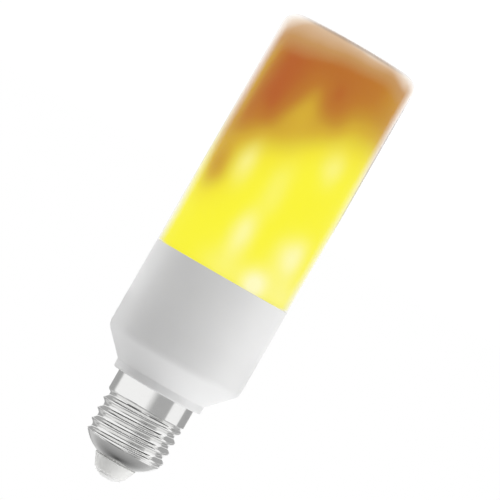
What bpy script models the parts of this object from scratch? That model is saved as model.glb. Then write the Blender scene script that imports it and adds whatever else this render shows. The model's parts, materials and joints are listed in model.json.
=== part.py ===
"""LED stick bulb with a flame-effect diffuser and an E27 screw cap.

The bulb stands on its flat head, with the screw cap up. The origin is the centre of the
head's flat face and +Z runs along the bulb's axis toward the cap. All values are metres.
"""

import math

import bmesh
import bpy
from mathutils import Matrix, Vector

MM = 0.001
TURN = 2 * math.pi

# Clearance between two pieces that touch on the real bulb
CLEARANCE = 0.3 * MM

# Points closer than this are welded
WELD_DISTANCE = 0.01 * MM

# Facets
BODY_SIDES = 38
SLEEVE_SIDES = 28
CORE_SIDES = 24
SHELL_SIDES = 28
SMALL_SIDES = 18
TINY_SIDES = 10
SLOT_SIDES = 6
FLEX_SIDES = 36
BEND_STEPS = 2
ARC_STEP = math.radians(30)
SHARP_ANGLE = math.radians(35)

# Outer form
BODY_RADIUS = 23.0 * MM
COVER_LENGTH = 81.2 * MM
HEAD_ROUNDING = 4.3 * MM
HOUSING_STRAIGHT = 29.9 * MM
TAPER_LENGTH = 8.0 * MM
SHOULDER_ROUNDING = 4.0 * MM
LIP_OVERHANG = 2.1 * MM
LIP_LENGTH = 2.4 * MM
LIP_ROUNDING = 0.6 * MM

# Diffuser cover and the sleeve inside it
COVER_WALL = 1.7 * MM
HEAD_WALL = 1.0 * MM
TONGUE_WALL = 0.7 * MM
LAP_LENGTH = 4.0 * MM
SLEEVE_WALL = 0.8 * MM

# Housing
HOUSING_WALL = 2.4 * MM
INNER_ROUNDING = 2.0 * MM
NECK_WALL = 1.85 * MM
NECK_CHAMFER = 0.5 * MM
NECK_TO_INSULATOR = 0.6 * MM
BOSS_TO_WALL = 4.0 * MM
BOSS_RADIUS = 2.6 * MM
BOSS_WEB = 1.2 * MM
BOSS_ANGLES = (90, 210, 330)
GUIDE_WALL = 1.0 * MM
GUIDE_REACH = 1.8 * MM
GUIDE_LENGTH = 12.0 * MM

# E27 screw shell: rolled thread of the standard cap
SHELL_WALL = 0.3 * MM
THREAD_RADIUS = 13.2 * MM
THREAD_DEPTH = 1.15 * MM
THREAD_PITCH = 3.629 * MM
THREAD_TURNS = 4
THREAD_RUN_OUT = 1.3 * MM
THREAD_ROWS_PER_TURN = 6
CREST_SHARPNESS = 1.5
PLAIN_BAND = 6.2 * MM
SHELL_CLOSING = 4.2 * MM
SHELL_CLOSING_ROUNDING = 1.6 * MM
SHELL_DOME_BULGE = 0.6 * MM
SHELL_DOME_ROUNDING = 4.0 * MM
SHELL_MOUTH_RADIUS = 7.4 * MM

# Insulator and centre contact; the insulator's end face is a land round the contact
INSULATOR_LENGTH = 4.4 * MM
INSULATOR_LAND = 0.7 * MM
INSULATOR_FLANGE = 1.6 * MM
INSULATOR_BORE = 1.6 * MM
INSULATOR_ROUNDING = 0.9 * MM
CONTACT_RADIUS = 4.3 * MM
CONTACT_THICKNESS = 1.3 * MM
CONTACT_EDGE = 0.3 * MM
CONTACT_FACE_RADIUS = 2.2 * MM
CONTACT_ROUNDING = 1.5 * MM
CONTACT_STEM_LENGTH = 7.0 * MM
CONTACT_HOLE_DEPTH = 4.0 * MM

# Light engine: a carrier tube with the flexible board rolled round it
CARRIER_TO_SCREW_HEAD = 1.5 * MM
CARRIER_WALL = 1.2 * MM
CARRIER_TO_HEAD = 11.3 * MM
COLLAR_WALL = 1.2 * MM
COLLAR_LENGTH = 8.0 * MM
FLEX_THICKNESS = 0.4 * MM
FLEX_INSET = 2.0 * MM
FLEX_SLIT_ANGLE = 6
TAIL_ANGLE = 34
TAIL_LENGTH = 12.0 * MM
LED_COLUMNS = 9
LED_PITCH = 6.6 * MM
LED_TO_EDGE = 4.0 * MM
LED_LENGTH = 3.5 * MM
LED_WIDTH = 2.8 * MM
LED_HEIGHT = 0.75 * MM
LED_TAPER = 0.86
LED_SEAT_DEPTH = 0.2 * MM

# Head end of the light engine
END_FLANGE = 1.6 * MM
END_RIM_WALL = 0.9 * MM
END_PLUG_LENGTH = 5.0 * MM
END_HOLE = 4.0 * MM
HEAD_BOARD_THICKNESS = 1.0 * MM
HEAD_LED_COUNT = 6
HEAD_LED_INSET = 4.5 * MM

# Bulkhead between the housing and the light engine, with its screws
BASE_THICKNESS = 2.0 * MM
BASE_HOLE = 5.0 * MM
SCREW_RADIUS = 0.95 * MM
SCREW_LENGTH = 9.0 * MM
SCREW_HEAD_RADIUS = 2.1 * MM
SCREW_HEAD_HEIGHT = 1.5 * MM
SCREW_HEAD_ROUNDING = 0.5 * MM
RECESS_WIDTH = 0.7 * MM
RECESS_LENGTH = 2.4 * MM
RECESS_DEPTH = 0.8 * MM

# Driver board
BOARD_THICKNESS = 1.6 * MM
BOARD_FOOT_HEIGHT = 3.2 * MM
BOARD_FOOT_WIDTH = 3.0 * MM
BOARD_SIDE_GAP = 0.9 * MM
BOARD_TO_TAPER = 0.4 * MM
BOARD_TO_NECK_END = 4.7 * MM
TONGUE_SIDE_GAP = 1.2 * MM

# What the board carries; heights count up from the start of its wide part
CAPACITOR_RADIUS = 4.0 * MM
CAPACITOR_LENGTH = 12.0 * MM
CAPACITOR_ROUNDING = 0.6 * MM
CAPACITOR_GROOVE = 0.35 * MM
CAPACITOR_GROOVE_HEIGHT = 2.0 * MM
CAPACITOR_LEAD_SPACING = 3.5 * MM
CAPACITOR_LEAD_DROP = 2.0 * MM
CAPACITOR_HEIGHT = 4.0 * MM
FILM_SIZE = (7.2 * MM, 4.6 * MM, 7.5 * MM)
FILM_ROUNDING = 0.7 * MM
FILM_LEAD_SPACING = 5.0 * MM
FILM_STAND_OFF = 0.6 * MM
FILM_HEIGHT = 7.5 * MM
CHOKE_RADIUS = 4.0 * MM
CHOKE_CORE_RADIUS = 3.3 * MM
CHOKE_LENGTH = 6.0 * MM
CHOKE_FLANGE = 1.0 * MM
CHOKE_TO_WIDE_END = 3.0 * MM
RESISTOR_RADIUS = 1.6 * MM
RESISTOR_LENGTH = 8.0 * MM
RESISTOR_WAIST = 0.25 * MM
RESISTOR_BEAD = 2.0 * MM
RESISTOR_ROUNDING = 0.5 * MM
CHIP_SIZE = (3.9 * MM, 1.4 * MM, 4.9 * MM)
CHIP_HEIGHT = 9.6 * MM
CHIP_LEG_ROWS = 4
BRIDGE_SIZE = (4.0 * MM, 1.5 * MM, 4.7 * MM)
BRIDGE_TO_WIDE_END = 4.7 * MM
BRIDGE_LEG_ROWS = 2
LEG_SIZE = (1.1 * MM, 0.3 * MM, 0.45 * MM)
SOCKET_SIZE = (4.0 * MM, 2.2 * MM, 3.4 * MM)
SOCKET_SLOT = 0.8 * MM
LEAD_RADIUS = 0.3 * MM
LEAD_BEND = 0.9 * MM

# Wiring
MAINS_LEAD_RADIUS = 0.35 * MM
MAINS_LEAD_BEND = 0.9 * MM
MAINS_LEAD_LAP = 5.0 * MM
LIVE_LEAD_ACROSS = 2.1 * MM
NEUTRAL_RUN = 8.0 * MM
HEAD_WIRE_RADIUS = 0.5 * MM
HEAD_WIRE_BEND = 2.0 * MM
HEAD_WIRE_SPACING = 3.0 * MM

# Radii that follow from the sizes above
cover_bore = BODY_RADIUS - COVER_WALL
tongue_radius = cover_bore + TONGUE_WALL
sleeve_radius = cover_bore - CLEARANCE
sleeve_bore = sleeve_radius - SLEEVE_WALL
housing_bore = BODY_RADIUS - HOUSING_WALL
housing_lap_bore = tongue_radius + CLEARANCE
lip_radius = THREAD_RADIUS + LIP_OVERHANG
shell_bore = THREAD_RADIUS - SHELL_WALL
shell_root_bore = THREAD_RADIUS - THREAD_DEPTH - SHELL_WALL
neck_band_radius = shell_bore - CLEARANCE
neck_radius = shell_root_bore - CLEARANCE
neck_bore = neck_radius - NECK_WALL
boss_circle = housing_bore - BOSS_TO_WALL
carrier_radius = boss_circle - SCREW_HEAD_RADIUS - CARRIER_TO_SCREW_HEAD
carrier_bore = carrier_radius - CARRIER_WALL
collar_radius = carrier_bore - CLEARANCE
collar_bore = collar_radius - COLLAR_WALL
flex_bore = carrier_radius + CLEARANCE
flex_radius = flex_bore + FLEX_THICKNESS
base_radius = housing_bore - CLEARANCE
head_board_radius = flex_radius - END_RIM_WALL - CLEARANCE
head_led_circle = head_board_radius - HEAD_LED_INSET
insulator_end_radius = CONTACT_RADIUS + INSULATOR_LAND
contact_stem_radius = INSULATOR_BORE - CLEARANCE
board_wide_half = flex_bore - BOARD_SIDE_GAP
board_tongue_half = neck_bore - TONGUE_SIDE_GAP

# Heights along the axis that follow from the sizes above
lap_end = COVER_LENGTH + LAP_LENGTH
housing_start = COVER_LENGTH + CLEARANCE
housing_shoulder = lap_end + CLEARANCE
taper_start = housing_start + HOUSING_STRAIGHT
lip_start = taper_start + TAPER_LENGTH
lip_end = lip_start + LIP_LENGTH
shell_start = lip_end + CLEARANCE
thread_start = shell_start + PLAIN_BAND
thread_end = thread_start + THREAD_TURNS * THREAD_PITCH
shell_end = thread_end + SHELL_CLOSING
insulator_start = shell_end + CLEARANCE
insulator_end = insulator_start + INSULATOR_LENGTH
contact_start = insulator_end + CLEARANCE
sleeve_start = HEAD_WALL + CLEARANCE
base_start = housing_shoulder
base_end = base_start + BASE_THICKNESS
boss_start = base_end + CLEARANCE
carrier_end = base_start - CLEARANCE
flex_start = CARRIER_TO_HEAD + FLEX_INSET
flex_end = carrier_end - FLEX_INSET
led_rows = math.floor((flex_end - flex_start - 2 * LED_TO_EDGE) / LED_PITCH) + 1
end_cap_top = CARRIER_TO_HEAD - CLEARANCE
end_cap_flange = end_cap_top - END_FLANGE
head_board_top = end_cap_flange - CLEARANCE
head_board_start = head_board_top - HEAD_BOARD_THICKNESS
board_start = base_end + CLEARANCE
board_wide_start = board_start + BOARD_FOOT_HEIGHT
board_wide_end = taper_start - BOARD_TO_TAPER
board_face = BOARD_THICKNESS / 2
part_face = board_face + CLEARANCE

# The screw cap's closing part, domed out from its chord, and the insulator's cone parallel to the chord
closing_radius = THREAD_RADIUS - THREAD_DEPTH / 2
closing_drop = closing_radius - SHELL_MOUTH_RADIUS
closing_chord = math.hypot(closing_drop, SHELL_CLOSING)
dome_radius = (closing_radius + SHELL_MOUTH_RADIUS) / 2 + SHELL_DOME_BULGE * SHELL_CLOSING / closing_chord
dome_height = thread_end + SHELL_CLOSING / 2 + SHELL_DOME_BULGE * closing_drop / closing_chord
closing_slope = closing_drop / SHELL_CLOSING
insulator_offset = (SHELL_WALL + CLEARANCE) * math.hypot(1, closing_slope)
insulator_waist = SHELL_MOUTH_RADIUS - SHELL_WALL - CLEARANCE
insulator_mouth = SHELL_MOUTH_RADIUS - CLEARANCE
insulator_flange_radius = neck_radius - CLEARANCE
flange_face = shell_end - (insulator_flange_radius + insulator_offset - SHELL_MOUTH_RADIUS) / closing_slope
insulator_inner = flange_face - INSULATOR_FLANGE
neck_end = insulator_inner - NECK_TO_INSULATOR
board_end = neck_end - BOARD_TO_NECK_END

# The housing's taper and its inner face
taper_slope = (BODY_RADIUS - lip_radius) / TAPER_LENGTH
taper_wall = HOUSING_WALL * math.hypot(1, taper_slope)
inner_taper_start = taper_start - (taper_wall - HOUSING_WALL) / taper_slope
inner_taper_end = inner_taper_start + (housing_bore - neck_bore) / taper_slope


# Scene set-up


def clear_scene():
    for item in list(bpy.data.objects):
        bpy.data.objects.remove(item, do_unlink=True)


def new_collection(name):
    collection = bpy.data.collections.new(name)
    bpy.context.scene.collection.children.link(collection)
    return collection


clear_scene()
bulb = new_collection("led_stick_bulb")
cutters = new_collection("cutters")
bulb_axis = bpy.data.objects.new("bulb_axis", None)
bulb.objects.link(bulb_axis)


def material(name, colour, roughness, metallic=0.0, alpha=1.0, glow=0.0):
    finish = bpy.data.materials.new(name)
    finish.use_nodes = True
    shader = finish.node_tree.nodes["Principled BSDF"]
    shader.inputs["Base Color"].default_value = (*colour, 1.0)
    shader.inputs["Roughness"].default_value = roughness
    shader.inputs["Metallic"].default_value = metallic
    shader.inputs["Alpha"].default_value = alpha
    shader.inputs["Emission Color"].default_value = (*colour, 1.0)
    shader.inputs["Emission Strength"].default_value = glow
    return finish


CLEAR = material("clear_cover", (0.95, 0.92, 0.84), 0.25, alpha=0.4)
FLAME = material("lit_diffuser", (0.95, 0.72, 0.06), 0.6, alpha=0.85, glow=0.8)
WHITE_BODY = material("white_housing", (0.80, 0.80, 0.80), 0.45)
NICKEL = material("nickel_shell", (0.72, 0.72, 0.73), 0.2, metallic=1.0)
PALE_INSULATOR = material("pale_insulator", (0.82, 0.82, 0.82), 0.5)
SOLDER = material("contact_metal", (0.75, 0.74, 0.72), 0.35, metallic=1.0)
WHITE_PLASTIC = material("white_plastic", (0.85, 0.85, 0.83), 0.5)
LED_BOARD = material("led_board", (0.88, 0.88, 0.80), 0.4)
CIRCUIT = material("circuit_board", (0.10, 0.32, 0.14), 0.45)
BLACK_PART = material("black_component", (0.03, 0.03, 0.03), 0.4)
CAN = material("aluminium_can", (0.65, 0.66, 0.68), 0.3, metallic=1.0)
FILM = material("film_capacitor_coat", (0.55, 0.12, 0.05), 0.35)
FERRITE = material("ferrite_choke", (0.10, 0.10, 0.11), 0.6)
RESISTOR = material("resistor_coat", (0.25, 0.45, 0.42), 0.5)
SCREW_STEEL = material("screw_steel", (0.55, 0.55, 0.56), 0.3, metallic=1.0)
RED_WIRE = material("red_wire", (0.60, 0.04, 0.03), 0.5)
BLACK_WIRE = material("black_wire", (0.03, 0.03, 0.03), 0.5)
BARE_WIRE = material("tinned_wire", (0.70, 0.70, 0.70), 0.3, metallic=1.0)


# Modelling helpers


def placed(name, data, finish, location=(0, 0, 0), rotation=(0, 0, 0), group=None):
    item = bpy.data.objects.new(name, data)
    (group or bulb).objects.link(item)
    item.location = location
    item.rotation_euler = rotation
    item.parent = bulb_axis
    if finish:
        data.materials.append(finish)
    return item


def hidden(item):
    """Turn an object into a helper that only cuts or joins."""
    item.hide_render = True
    item.display_type = "WIRE"
    for collection in list(item.users_collection):
        collection.objects.unlink(item)
    cutters.objects.link(item)
    return item


def filleted(corners):
    """Outline through corners (radius, height) or (radius, height, fillet radius)."""
    outline = []
    count = len(corners)
    for index, (radius, height, *rounding) in enumerate(corners):
        corner = Vector((radius, height))
        if not rounding:
            outline.append(corner)
            continue
        back = (Vector(corners[index - 1][:2]) - corner).normalized()
        ahead = (Vector(corners[(index + 1) % count][:2]) - corner).normalized()
        half = back.angle(ahead) / 2
        reach = rounding[0] / math.tan(half)
        centre = corner + (back + ahead).normalized() * rounding[0] / math.sin(half)
        first = (corner + back * reach - centre).normalized()
        last = (corner + ahead * reach - centre).normalized()
        steps = max(2, math.ceil((math.pi - 2 * half) / ARC_STEP))
        outline += [centre + first.slerp(last, step / steps) * rounding[0] for step in range(steps + 1)]
    return outline


def turned(name, corners, height, finish, sides, sweep=TURN, closed=None, **place):
    """Turn an outline, which runs down its outer side, about the axis."""
    outline = filleted(corners)
    if closed is None:
        closed = min(point.x for point in outline) > 0
    count = len(outline)
    edges = [(step, step + 1) for step in range(count - 1)]
    if closed:
        edges.append((count - 1, 0))
    mesh = bpy.data.meshes.new(name)
    mesh.from_pydata([(point.x, 0, point.y) for point in outline], edges, [])
    item = placed(name, mesh, finish, location=(0, 0, height), **place)
    screw = item.modifiers.new("turn", "SCREW")
    screw.angle = sweep
    screw.steps = sides
    screw.render_steps = sides
    screw.use_merge_vertices = True
    screw.merge_threshold = WELD_DISTANCE
    screw.use_smooth_shade = False
    return item


def box(name, size, centre, finish=None, rounding=0.0, top_scale=1.0, **place):
    """Box of the given size about its centre; top_scale narrows its +Z face."""
    mesh = bpy.data.meshes.new(name)
    shape = bmesh.new()
    bmesh.ops.create_cube(shape, size=1.0)
    for point in shape.verts:
        if point.co.z > 0:
            point.co.x *= top_scale
            point.co.y *= top_scale
    bmesh.ops.scale(shape, vec=size, verts=shape.verts)
    shape.to_mesh(mesh)
    shape.free()
    item = placed(name, mesh, finish, location=centre, **place)
    if rounding:
        bevel = item.modifiers.new("rounded edges", "BEVEL")
        bevel.width = rounding
        bevel.segments = 2
    return item


def rod(name, radius, length, base, finish=None, sides=TINY_SIDES, **place):
    """Cylinder that starts at base and runs along its own +Z."""
    mesh = bpy.data.meshes.new(name)
    shape = bmesh.new()
    lifted = Matrix.Translation((0, 0, length / 2))
    bmesh.ops.create_cone(
        shape, cap_ends=True, segments=sides, radius1=radius, radius2=radius, depth=length, matrix=lifted
    )
    shape.to_mesh(mesh)
    shape.free()
    return placed(name, mesh, finish, location=base, **place)


def plate(name, outline, thickness, finish):
    """Flat board in the XZ plane, drawn as a filled 2D curve."""
    curve = bpy.data.curves.new(name, "CURVE")
    curve.dimensions = "2D"
    curve.fill_mode = "BOTH"
    curve.extrude = thickness / 2
    spline = curve.splines.new("POLY")
    spline.points.add(len(outline) - 1)
    for point, (across, up) in zip(spline.points, outline):
        point.co = (across, up, 0, 1)
    spline.use_cyclic_u = True
    return placed(name, curve, finish, rotation=(math.pi / 2, 0, 0))


def wire(name, points, radius, finish):
    """Round wire along a list of points."""
    curve = bpy.data.curves.new(name, "CURVE")
    curve.dimensions = "3D"
    curve.bevel_depth = radius
    curve.bevel_resolution = 2
    curve.use_fill_caps = True
    spline = curve.splines.new("POLY")
    spline.points.add(len(points) - 1)
    for point, place in zip(spline.points, points):
        point.co = (*place, 1)
    return placed(name, curve, finish)


def rounded_route(corners, bend):
    """Points of a wire's route, with each inner corner rounded to the bend radius."""
    route = [Vector(corners[0])]
    for before, corner, after in zip(corners, corners[1:], corners[2:]):
        middle = Vector(corner)
        back = Vector(before) - middle
        ahead = Vector(after) - middle
        reach = min(bend, back.length / 2, ahead.length / 2)
        start = middle + back.normalized() * reach
        end = middle + ahead.normalized() * reach
        for step in range(BEND_STEPS + 1):
            blend = step / BEND_STEPS
            route.append(start.lerp(middle, blend).lerp(middle.lerp(end, blend), blend))
    route.append(Vector(corners[-1]))
    return route


def as_mesh(curve_item):
    """Make a curve object a closed mesh, so that it can be joined or cut."""
    bpy.context.view_layer.update()
    evaluated = curve_item.evaluated_get(bpy.context.evaluated_depsgraph_get())
    mesh = bpy.data.meshes.new_from_object(evaluated)
    shape = bmesh.new()
    shape.from_mesh(mesh)
    bmesh.ops.remove_doubles(shape, verts=shape.verts, dist=WELD_DISTANCE)
    shape.to_mesh(mesh)
    shape.free()
    name = curve_item.name
    solid = bpy.data.objects.new(name + "_solid", mesh)
    bulb.objects.link(solid)
    solid.matrix_world = curve_item.matrix_world
    bpy.data.objects.remove(curve_item, do_unlink=True)
    solid.name = name
    return solid


def join(target, piece):
    modifier = target.modifiers.new("join " + piece.name, "BOOLEAN")
    modifier.operation = "UNION"
    modifier.object = hidden(piece)


def cut(target, cutter):
    modifier = target.modifiers.new("cut " + cutter.name, "BOOLEAN")
    modifier.operation = "DIFFERENCE"
    modifier.object = hidden(cutter)


def round_the_axis(radius, degrees, height):
    angle = math.radians(degrees)
    return Vector((radius * math.cos(angle), radius * math.sin(angle), height))


# Diffuser


def make_diffuser_cover():
    """Clear cup with a flat head; its thin tongue laps inside the housing's rim."""
    inner_rounding = HEAD_ROUNDING - COVER_WALL
    corners = [
        (0, HEAD_WALL),
        (cover_bore, HEAD_WALL, inner_rounding),
        (cover_bore, lap_end),
        (tongue_radius, lap_end),
        (tongue_radius, COVER_LENGTH),
        (BODY_RADIUS, COVER_LENGTH),
        (BODY_RADIUS, 0, HEAD_ROUNDING),
        (0, 0),
    ]
    turned("diffuser_cover", corners, 0, CLEAR, BODY_SIDES)


def make_diffuser_sleeve():
    """Diffusing cup that lines the cover and shows the flame."""
    length = lap_end - sleeve_start
    outer_rounding = HEAD_ROUNDING - COVER_WALL
    corners = [
        (0, SLEEVE_WALL),
        (sleeve_bore, SLEEVE_WALL, outer_rounding - SLEEVE_WALL),
        (sleeve_bore, length),
        (sleeve_radius, length),
        (sleeve_radius, 0, outer_rounding),
        (0, 0),
    ]
    turned("diffuser_sleeve", corners, sleeve_start, FLAME, SLEEVE_SIDES)


# Housing


def make_housing():
    """Moulded housing: lap rim, straight wall, rounded taper, lip and hollow neck."""
    band_end = thread_start - housing_start
    neck_top = neck_end - housing_start
    corners = [
        (neck_bore, neck_top),
        (neck_radius - NECK_CHAMFER, neck_top),
        (neck_radius, neck_top - NECK_CHAMFER),
        (neck_radius, band_end + neck_band_radius - neck_radius - CLEARANCE),
        (neck_band_radius, band_end - CLEARANCE),
        (neck_band_radius, lip_end - housing_start),
        (lip_radius, lip_end - housing_start, LIP_ROUNDING),
        (lip_radius, lip_start - housing_start, LIP_ROUNDING),
        (BODY_RADIUS, taper_start - housing_start, SHOULDER_ROUNDING),
        (BODY_RADIUS, 0),
        (housing_lap_bore, 0),
        (housing_lap_bore, housing_shoulder - housing_start),
        (housing_bore, housing_shoulder - housing_start),
        (housing_bore, inner_taper_start - housing_start, INNER_ROUNDING),
        (neck_bore, inner_taper_end - housing_start),
    ]
    housing = turned("housing", corners, housing_start, WHITE_BODY, BODY_SIDES)
    for number, degrees in enumerate(BOSS_ANGLES, 1):
        add_screw_boss(housing, number, degrees)
    for side in (-1, 1):
        for face in (-1, 1):
            add_board_guide(housing, side, face)
    cut_neutral_groove(housing)


def add_screw_boss(housing, number, degrees):
    """Boss for a bulkhead screw, tied to the wall by a web, with its pilot hole."""
    boss_length = taper_start - boss_start + CLEARANCE
    boss_base = round_the_axis(boss_circle, degrees, boss_start)
    boss = rod(f"boss_{number}", BOSS_RADIUS, boss_length, boss_base, sides=SMALL_SIDES)
    join(housing, boss)
    web_start = boss_circle + BOSS_RADIUS / 2
    web_end = housing_bore + HOUSING_WALL / 2
    web_centre = round_the_axis((web_start + web_end) / 2, degrees, boss_start + boss_length / 2)
    web_size = (web_end - web_start, BOSS_WEB, boss_length - CLEARANCE)
    web = box(f"boss_web_{number}", web_size, web_centre, rotation=(0, 0, math.radians(degrees)))
    join(housing, web)
    hole_base = round_the_axis(boss_circle, degrees, boss_start - CLEARANCE)
    hole_radius = SCREW_RADIUS + CLEARANCE
    cut(housing, rod(f"pilot_hole_{number}", hole_radius, SCREW_LENGTH + CLEARANCE, hole_base))


def add_board_guide(housing, side, face):
    """Rib in the neck that holds one face of the driver board's tongue."""
    rib_inner = board_tongue_half - GUIDE_REACH
    rib_outer = neck_bore + NECK_WALL / 2
    size = (rib_outer - rib_inner, GUIDE_WALL, GUIDE_LENGTH)
    centre = (
        side * (rib_inner + rib_outer) / 2,
        face * (part_face + GUIDE_WALL / 2),
        lip_end + GUIDE_LENGTH / 2,
    )
    name = f"board_guide_{'left' if side < 0 else 'right'}_{'front' if face < 0 else 'back'}"
    join(housing, box(name, size, centre))


def cut_neutral_groove(housing):
    """Groove down the neck's outside, and a notch in its end, for the neutral lead."""
    width = 2 * (MAINS_LEAD_RADIUS + CLEARANCE)
    floor = neutral_line() - MAINS_LEAD_RADIUS - CLEARANCE
    run_end = neck_end - NEUTRAL_RUN - CLEARANCE
    outside = neck_radius + CLEARANCE
    groove_size = (outside - floor, width, neck_end + CLEARANCE - run_end)
    groove_centre = (-(outside + floor) / 2, 0, (neck_end + CLEARANCE + run_end) / 2)
    cut(housing, box("neutral_groove", groove_size, groove_centre))
    notch_depth = width + CLEARANCE
    inside = neck_bore - CLEARANCE
    notch_size = (outside - inside, width, notch_depth + CLEARANCE)
    notch_centre = (-(outside + inside) / 2, 0, neck_end + (CLEARANCE - notch_depth) / 2)
    cut(housing, box("neutral_notch", notch_size, notch_centre))


def neutral_line():
    """Distance of the neutral lead's outer run from the axis."""
    return shell_root_bore - CLEARANCE - MAINS_LEAD_RADIUS


# Screw cap


def thread_depth_at(height, angle):
    """How deep the rolled thread is pressed into the shell, fading at both ends."""
    into = min(height - PLAIN_BAND, PLAIN_BAND + THREAD_TURNS * THREAD_PITCH - height)
    if into <= 0:
        return 0.0
    fade = min(1.0, into / THREAD_RUN_OUT)
    crest = 0.5 + 0.5 * math.cos(TURN * (height - PLAIN_BAND) / THREAD_PITCH - angle)
    return THREAD_DEPTH * fade * (1 - crest**CREST_SHARPNESS)


def make_screw_shell():
    """Drawn sheet shell: a plain band, the rolled right-hand thread and a domed closing part."""
    row_step = THREAD_PITCH / THREAD_ROWS_PER_TURN
    closing_start = thread_end - shell_start
    rings = filleted([
        (SHELL_MOUTH_RADIUS, shell_end - shell_start),
        (dome_radius, dome_height - shell_start, SHELL_DOME_ROUNDING),
        (closing_radius, closing_start, SHELL_CLOSING_ROUNDING),
        (THREAD_RADIUS, closing_start - THREAD_RUN_OUT),
    ])[:-1]
    last_row = rings[-1].y - row_step / 2
    rows = [PLAIN_BAND + row * row_step for row in range(THREAD_TURNS * THREAD_ROWS_PER_TURN)]
    rings += [Vector((THREAD_RADIUS, height)) for height in reversed(rows) if height < last_row]
    rings.append(Vector((THREAD_RADIUS, 0)))
    shape = bmesh.new()
    profile = [shape.verts.new((ring.x, 0, ring.y)) for ring in rings]
    seams = [shape.edges.new(pair) for pair in zip(profile, profile[1:])]
    bmesh.ops.spin(
        shape, geom=profile + seams, axis=(0, 0, 1), cent=(0, 0, 0), angle=TURN,
        steps=SHELL_SIDES, use_merge=True,
    )
    for point in shape.verts:
        radius = math.hypot(point.co.x, point.co.y)
        depth = thread_depth_at(point.co.z, math.atan2(point.co.y, point.co.x))
        point.co.x *= 1 - depth / radius
        point.co.y *= 1 - depth / radius
    bmesh.ops.recalc_face_normals(shape, faces=shape.faces)
    mesh = bpy.data.meshes.new("screw_shell")
    shape.to_mesh(mesh)
    shape.free()
    shell = placed("screw_shell", mesh, NICKEL, location=(0, 0, shell_start))
    sheet = shell.modifiers.new("sheet", "SOLIDIFY")
    sheet.thickness = SHELL_WALL
    sheet.offset = -1
    sheet.use_even_offset = True


def make_cap_insulator():
    """Pale insulator: a flange behind the shell's closing part, a waist and the outer cone."""
    waist_height = shell_end - (insulator_waist + insulator_offset - SHELL_MOUTH_RADIUS) / closing_slope
    corners = [
        (INSULATOR_BORE, insulator_end),
        (insulator_end_radius, insulator_end, INSULATOR_ROUNDING),
        (insulator_mouth, insulator_start),
        (insulator_waist, insulator_start),
        (insulator_waist, waist_height),
        (insulator_flange_radius, flange_face),
        (insulator_flange_radius, insulator_inner),
        (INSULATOR_BORE, insulator_inner),
    ]
    local = [(radius, height - insulator_inner, *rest) for radius, height, *rest in corners]
    turned("cap_insulator", local, insulator_inner, PALE_INSULATOR, SHELL_SIDES)


def make_centre_contact():
    """Domed contact button with a small flat face and a stem that takes the live lead."""
    lead_hole = MAINS_LEAD_RADIUS + CLEARANCE
    stem_end = -CONTACT_STEM_LENGTH
    corners = [
        (0, CONTACT_THICKNESS),
        (CONTACT_FACE_RADIUS, CONTACT_THICKNESS, CONTACT_ROUNDING),
        (CONTACT_RADIUS, CONTACT_EDGE),
        (CONTACT_RADIUS, 0),
        (contact_stem_radius, 0),
        (contact_stem_radius, stem_end),
        (lead_hole, stem_end),
        (lead_hole, stem_end + CONTACT_HOLE_DEPTH),
        (0, stem_end + CONTACT_HOLE_DEPTH),
    ]
    turned("centre_contact", corners, contact_start, SOLDER, SMALL_SIDES)


# Light engine


def make_led_carrier():
    length = carrier_end - CARRIER_TO_HEAD
    corners = [
        (carrier_bore, length),
        (carrier_radius, length),
        (carrier_radius, 0),
        (carrier_bore, 0),
    ]
    turned("led_carrier", corners, CARRIER_TO_HEAD, WHITE_PLASTIC, CORE_SIDES)


def led_mesh(shape, place):
    """Add one LED package, narrower at its face, to a mesh under construction."""
    made = bmesh.ops.create_cube(shape, size=1.0)["verts"]
    for point in made:
        spread = LED_TAPER if point.co.z > 0 else 1.0
        point.co.x *= spread * LED_LENGTH
        point.co.y *= spread * LED_WIDTH
        point.co.z = (point.co.z + 0.5) * (LED_HEIGHT + LED_SEAT_DEPTH) - LED_SEAT_DEPTH
        point.co = place @ point.co


def led_group(name, places):
    mesh = bpy.data.meshes.new(name)
    shape = bmesh.new()
    for place in places:
        led_mesh(shape, place)
    shape.to_mesh(mesh)
    shape.free()
    return placed(name, mesh, None)


def matrix_places():
    """Places of the LED matrix: rings of LEDs, each ring turned half a column on."""
    outward = Matrix.Rotation(math.pi / 2, 4, "Y")
    middle = (flex_start + flex_end) / 2
    column_angle = TURN / LED_COLUMNS
    for row in range(led_rows):
        height = middle + (row - (led_rows - 1) / 2) * LED_PITCH
        for column in range(LED_COLUMNS):
            angle = (column + 0.5 * (row % 2)) * column_angle
            yield (
                Matrix.Rotation(angle, 4, "Z")
                @ Matrix.Translation((flex_radius * math.cos(math.pi / FLEX_SIDES), 0, height))
                @ outward
            )


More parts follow.
